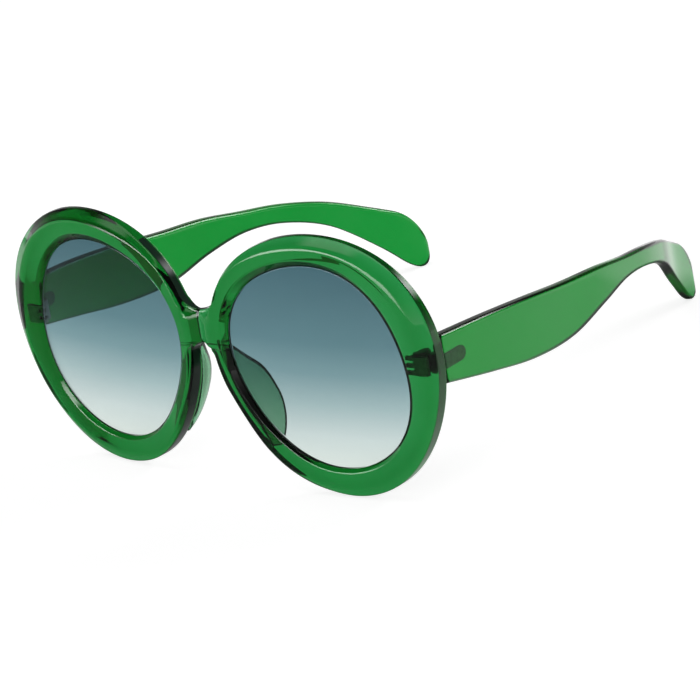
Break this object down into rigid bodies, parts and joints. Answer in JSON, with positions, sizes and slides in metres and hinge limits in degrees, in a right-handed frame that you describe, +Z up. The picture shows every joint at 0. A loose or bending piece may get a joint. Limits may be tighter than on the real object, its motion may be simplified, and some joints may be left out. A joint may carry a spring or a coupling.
{
  "type": "sunglasses",
  "caption": "Oversized round sunglasses with a thick translucent green frame, wide folding temples, gradient blue-grey lenses and metal barrel hinges.",
  "frame": {"origin": "on the ground below the middle of the object's box; X = 0 is the plane of symmetry and Z = 0 is the surface that the lower rims and the temple tips stand on", "axes": "+Z up, -Y the way the wearer looks, +X towards the wearer's left, temples open along +Y"},
  "size_m": [0.1486, 0.1498, 0.0728],
  "materials": {
    "green_plastic": "polished translucent green plastic",
    "gradient_lens": "polished lens, blue-grey above and nearly clear below",
    "pad_plastic": "smooth translucent pale green plastic",
    "hinge_metal": "dark satin metal",
    "screw_metal": "satin metal"
  },
  "bodies": {
    "front": {"front_frame": "green_plastic", "lens_left": "gradient_lens", "lens_right": "gradient_lens", "nose_pad_left": "pad_plastic", "nose_pad_right": "pad_plastic", "front_hinge_leaf_left": "hinge_metal", "front_hinge_leaf_right": "hinge_metal", "hinge_screw_left": "screw_metal", "hinge_screw_right": "screw_metal"},
    "left_temple": {"temple_left": "green_plastic", "temple_hinge_leaf_left": "hinge_metal"},
    "right_temple": {"temple_right": "green_plastic", "temple_hinge_leaf_right": "hinge_metal"}
  },
  "joints": [
    {"name": "left_temple_fold", "type": "hinge", "parent": "front", "child": "left_temple", "pos_m": [0.06631, -0.06229, 0.0389], "axis": [0, 0, 1], "range_deg": [0, 80]},
    {"name": "right_temple_fold", "type": "hinge", "parent": "front", "child": "right_temple", "pos_m": [-0.06631, -0.06229, 0.0389], "axis": [0, 0, -1], "range_deg": [0, 66]}
  ]
}
